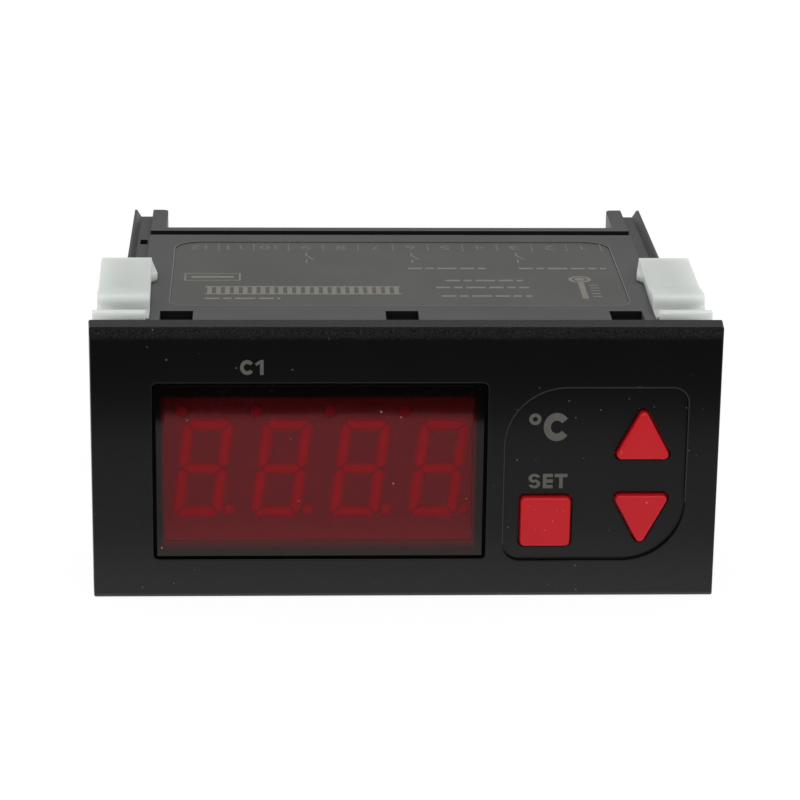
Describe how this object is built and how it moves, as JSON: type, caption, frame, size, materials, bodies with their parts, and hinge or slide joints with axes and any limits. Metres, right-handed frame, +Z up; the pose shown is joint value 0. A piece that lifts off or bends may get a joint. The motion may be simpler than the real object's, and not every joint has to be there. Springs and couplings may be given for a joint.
{
  "type": "panel-mount temperature controller",
  "caption": "Panel-mount digital temperature controller with a tinted red LED display, raised keys, a flat black housing, sliding fixing clips and rear screw terminals.",
  "frame": {"origin": "centre of the bezel's back face, which seats on the panel", "axes": "+X right as seen from the front, +Y to the rear through the panel, +Z up"},
  "size_m": [0.0782, 0.0671, 0.035],
  "materials": {
    "bezel_plastic": "satin black moulding",
    "display_window": "polished red-brown tint",
    "housing_plastic": "fine-grained black moulding",
    "clip_plastic": "natural pale grey moulding",
    "key_plastic": "smooth red moulding",
    "plunger_plastic": "plain black",
    "switch_plastic": "plain dark grey",
    "circuit_board": "green solder mask",
    "led_face": "red diffusing face",
    "led_segment": "unlit red diffuser",
    "tinned_pin": "tinned",
    "chip_body": "moulded epoxy",
    "transformer_block": "wrapped coil block",
    "relay_case": "moulded case",
    "capacitor_sleeve": "shrink sleeve",
    "film_case": "boxed film capacitor",
    "varistor_coating": "dipped coating",
    "terminal_plastic": "dark moulding",
    "clamp_metal": "plated brass",
    "screw_metal": "zinc plated"
  },
  "bodies": {
    "body": {"front_bezel": "bezel_plastic", "display_window": "display_window", "housing": "housing_plastic", "up_switch": "switch_plastic", "down_switch": "switch_plastic", "set_switch": "switch_plastic", "display_board": "circuit_board", "main_board": "circuit_board", "led_display": "led_face", "digit_segments": "led_segment", "decimal_points": "led_segment", "indicator_lights": "led_segment", "display_pins": "tinned_pin", "header_pins": "tinned_pin", "board_header": "switch_plastic", "microcontroller": "chip_body", "voltage_regulator": "chip_body", "rectifier_diodes": "chip_body", "transformer": "transformer_block", "relay": "relay_case", "smoothing_capacitor": "capacitor_sleeve", "film_capacitor": "film_case", "varistor": "varistor_coating", "terminal_block": "terminal_plastic", "terminal_clamps": "clamp_metal", "terminal_screws": "screw_metal"},
    "up_button": {"up_key": "key_plastic", "up_plunger": "plunger_plastic"},
    "down_button": {"down_key": "key_plastic", "down_plunger": "plunger_plastic"},
    "set_button": {"set_key": "key_plastic", "set_plunger": "plunger_plastic"},
    "left_fixing": {"left_clip": "clip_plastic"},
    "right_fixing": {"right_clip": "clip_plastic"}
  },
  "joints": [
    {"name": "up_press", "type": "slide", "parent": "body", "child": "up_button", "axis": [0, 1, 0], "range_m": [0, 0.0004], "stiffness_N_per_m": 1500, "springref_m": -0.0006},
    {"name": "down_press", "type": "slide", "parent": "body", "child": "down_button", "axis": [0, 1, 0], "range_m": [0, 0.0004], "stiffness_N_per_m": 1500, "springref_m": -0.0006},
    {"name": "set_press", "type": "slide", "parent": "body", "child": "set_button", "axis": [0, 1, 0], "range_m": [0, 0.0004], "stiffness_N_per_m": 1500, "springref_m": -0.0006},
    {"name": "left_clip_slide", "type": "slide", "parent": "body", "child": "left_fixing", "axis": [0, 1, 0], "range_m": [-0.0083, 0.03]},
    {"name": "right_clip_slide", "type": "slide", "parent": "body", "child": "right_fixing", "axis": [0, 1, 0], "range_m": [-0.0083, 0.03]}
  ]
}
